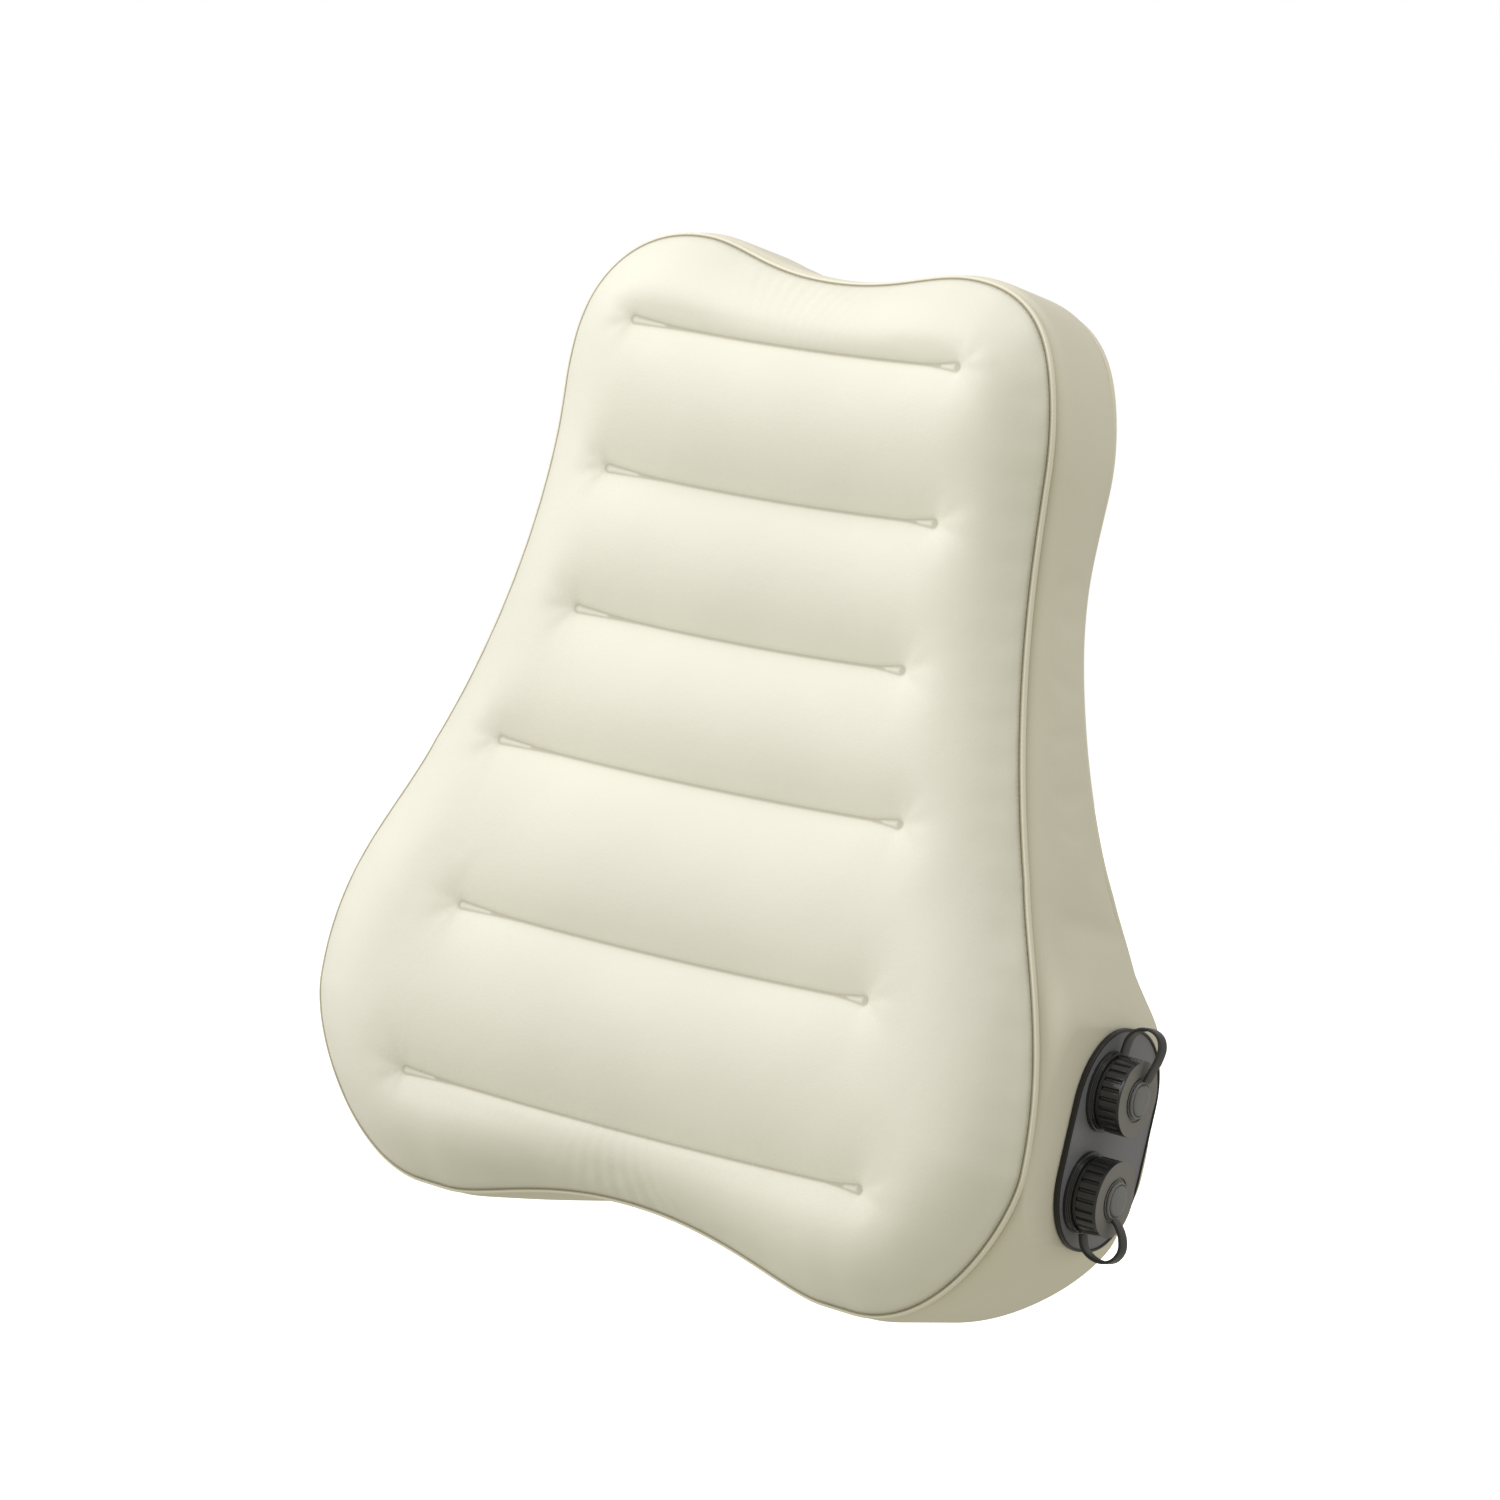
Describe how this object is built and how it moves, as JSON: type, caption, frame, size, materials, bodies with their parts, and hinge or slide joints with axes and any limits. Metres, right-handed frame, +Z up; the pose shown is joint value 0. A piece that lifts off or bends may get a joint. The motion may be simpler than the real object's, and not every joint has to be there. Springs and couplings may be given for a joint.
{
  "type": "inflatable lumbar camp pillow",
  "caption": "Bell-shaped inflatable back cushion with crowned welded channels, a tapered side band and ribbed screw valves with tethered plugs on one side.",
  "frame": {"origin": "middle of the bottom of the bounding box, on the surface that the two lower lobes stand on", "axes": "+Z up the pillow, +Y from the front panel to the back panel, +X towards the side with the valves"},
  "size_m": [0.3938, 0.1468, 0.4349],
  "materials": {
    "panel_fabric": "soft matt coated fabric",
    "band_fabric": "soft matt coated fabric",
    "bead_fabric": "welded edge, slightly smooth",
    "web_fabric": "matt coated film",
    "plate_rubber": "satin moulded",
    "valve_plastic": "satin moulded",
    "plug_plastic": "fine matt moulded",
    "tether_rubber": "satin moulded",
    "seal_rubber": "translucent silicone"
  },
  "bodies": {
    "pillow": {"front_panel": "panel_fabric", "back_panel": "panel_fabric", "side_band": "band_fabric", "front_seam_bead": "bead_fabric", "rear_seam_bead": "bead_fabric", "inner_web_1": "web_fabric", "inner_web_2": "web_fabric", "inner_web_3": "web_fabric", "inner_web_4": "web_fabric", "inner_web_5": "web_fabric", "inner_web_6": "web_fabric", "valve_plate": "plate_rubber", "upper_valve_base": "valve_plastic", "upper_tether_ring": "tether_rubber", "lower_valve_base": "valve_plastic", "lower_tether_ring": "tether_rubber"},
    "upper_lift": {"upper_collar_seal": "seal_rubber", "upper_tether_strap": "tether_rubber"},
    "upper_collar": {"upper_ribbed_collar": "valve_plastic", "upper_flap_seat": "valve_plastic"},
    "upper_flap": {"upper_check_flap": "seal_rubber"},
    "upper_plug": {"upper_port_plug": "plug_plastic"},
    "lower_lift": {"lower_collar_seal": "seal_rubber", "lower_tether_strap": "tether_rubber"},
    "lower_collar": {"lower_ribbed_collar": "valve_plastic", "lower_flap_seat": "valve_plastic"},
    "lower_flap": {"lower_check_flap": "seal_rubber"},
    "lower_plug": {"lower_port_plug": "plug_plastic"}
  },
  "joints": [
    {"name": "upper_collar_rise", "type": "slide", "parent": "pillow", "child": "upper_lift", "axis": [1, 0, 0], "range_m": [0, 0.0046]},
    {"name": "upper_collar_turn", "type": "hinge", "parent": "upper_lift", "child": "upper_collar", "pos_m": [0.17315, 0.00524, 0.1155], "axis": [1, 0, 0], "range_deg": [0, 540]},
    {"name": "upper_flap_open", "type": "slide", "parent": "upper_collar", "child": "upper_flap", "axis": [-1, 0, 0], "range_m": [0, 0.0012], "stiffness_N_per_m": 60},
    {"name": "upper_plug_pull", "type": "slide", "parent": "upper_lift", "child": "upper_plug", "axis": [1, 0, 0], "range_m": [0, 0.012]},
    {"name": "lower_collar_rise", "type": "slide", "parent": "pillow", "child": "lower_lift", "axis": [1, 0, 0], "range_m": [0, 0.0046]},
    {"name": "lower_collar_turn", "type": "hinge", "parent": "lower_lift", "child": "lower_collar", "pos_m": [0.17315, 0.00524, 0.073], "axis": [1, 0, 0], "range_deg": [0, 540]},
    {"name": "lower_flap_open", "type": "slide", "parent": "lower_collar", "child": "lower_flap", "axis": [-1, 0, 0], "range_m": [0, 0.0012], "stiffness_N_per_m": 60},
    {"name": "lower_plug_pull", "type": "slide", "parent": "lower_lift", "child": "lower_plug", "axis": [1, 0, 0], "range_m": [0, 0.012]}
  ],
  "couplings": [
    {"joint": "upper_collar_rise", "follows": "upper_collar_turn", "m_per_rad": 0.00047746},
    {"joint": "lower_collar_rise", "follows": "lower_collar_turn", "m_per_rad": 0.00047746}
  ]
}
